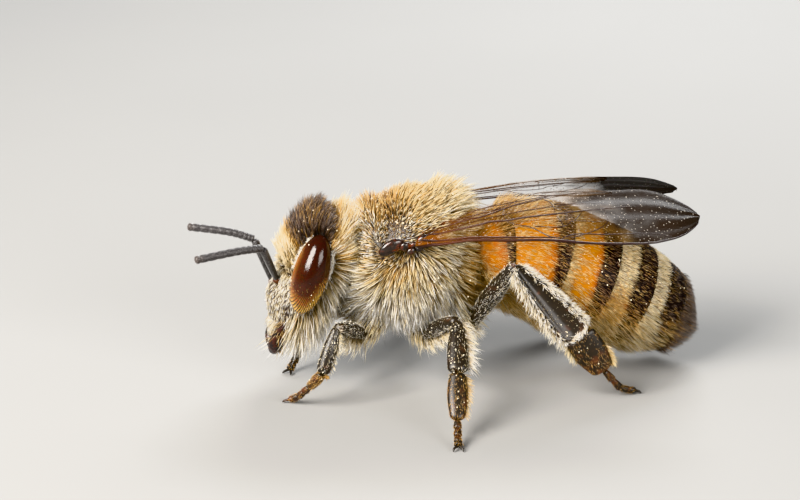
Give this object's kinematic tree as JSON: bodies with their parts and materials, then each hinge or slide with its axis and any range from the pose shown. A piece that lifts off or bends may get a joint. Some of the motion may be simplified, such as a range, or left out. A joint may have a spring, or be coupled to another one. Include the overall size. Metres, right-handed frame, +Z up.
{
  "type": "honey bee model",
  "caption": "Life-size still model of a worker honey bee standing on six legs, wings folded over a banded amber abdomen, feelers held forward.",
  "frame": {"origin": "on the ground, at the middle of the bee's bounding box", "axes": "-X the way the bee faces, -Y its left side, +Z up"},
  "size_m": [0.0156, 0.0116, 0.0063],
  "materials": {
    "thorax_hair": "dense soft pale golden hair over dark skin",
    "head_hair": "short cream and grey hair over dark skin",
    "eye": "dark red-brown, very glossy, paler at the lower edge",
    "feeler": "black-grey, satin, ringed",
    "mouthparts": "dark red-brown, glossy",
    "tegula": "black-brown, glossy, red-brown rim",
    "wing": "thin smoky brown film with dark red-brown veins",
    "abdomen_amber": "amber-orange with dark rear bands and short golden hair",
    "abdomen_tail": "black-brown with pale grey hair bands",
    "leg": "dark brown with pale hair fringes"
  },
  "bodies": {
    "root": {"antenna_flagellum_left": "feeler", "antenna_flagellum_right": "feeler", "antenna_scape_left": "feeler", "antenna_scape_right": "feeler", "eye_left": "eye", "eye_right": "eye", "foreleg_basitarsus_left": "leg", "foreleg_basitarsus_right": "leg", "foreleg_coxa_left": "leg", "foreleg_coxa_right": "leg", "foreleg_femur_left": "leg", "foreleg_femur_right": "leg", "foreleg_tarsus_left": "leg", "foreleg_tarsus_right": "leg", "foreleg_tibia_left": "leg", "foreleg_tibia_right": "leg", "forewing_left": "wing", "forewing_right": "wing", "head": "head_hair", "hindleg_basitarsus_left": "leg", "hindleg_basitarsus_right": "leg", "hindleg_coxa_left": "leg", "hindleg_coxa_right": "leg", "hindleg_femur_left": "leg", "hindleg_femur_right": "leg", "hindleg_tarsus_left": "leg", "hindleg_tarsus_right": "leg", "hindleg_tibia_left": "leg", "hindleg_tibia_right": "leg", "hindwing_left": "wing", "hindwing_right": "wing", "labrum": "mouthparts", "mandible_left": "mouthparts", "mandible_right": "mouthparts", "mesothorax": "thorax_hair", "midleg_basitarsus_left": "leg", "midleg_basitarsus_right": "leg", "midleg_coxa_left": "leg", "midleg_coxa_right": "leg", "midleg_femur_left": "leg", "midleg_femur_right": "leg", "midleg_tarsus_left": "leg", "midleg_tarsus_right": "leg", "midleg_tibia_left": "leg", "midleg_tibia_right": "leg", "proboscis": "mouthparts", "pronotum": "thorax_hair", "propodeum": "thorax_hair", "scutellum": "thorax_hair", "tegula_left": "tegula", "tegula_right": "tegula", "tergite_1": "abdomen_amber", "tergite_2": "abdomen_amber", "tergite_3": "abdomen_amber", "tergite_4": "abdomen_amber", "tergite_5": "abdomen_tail", "tergite_6": "abdomen_tail"}
  },
  "joints": []
}
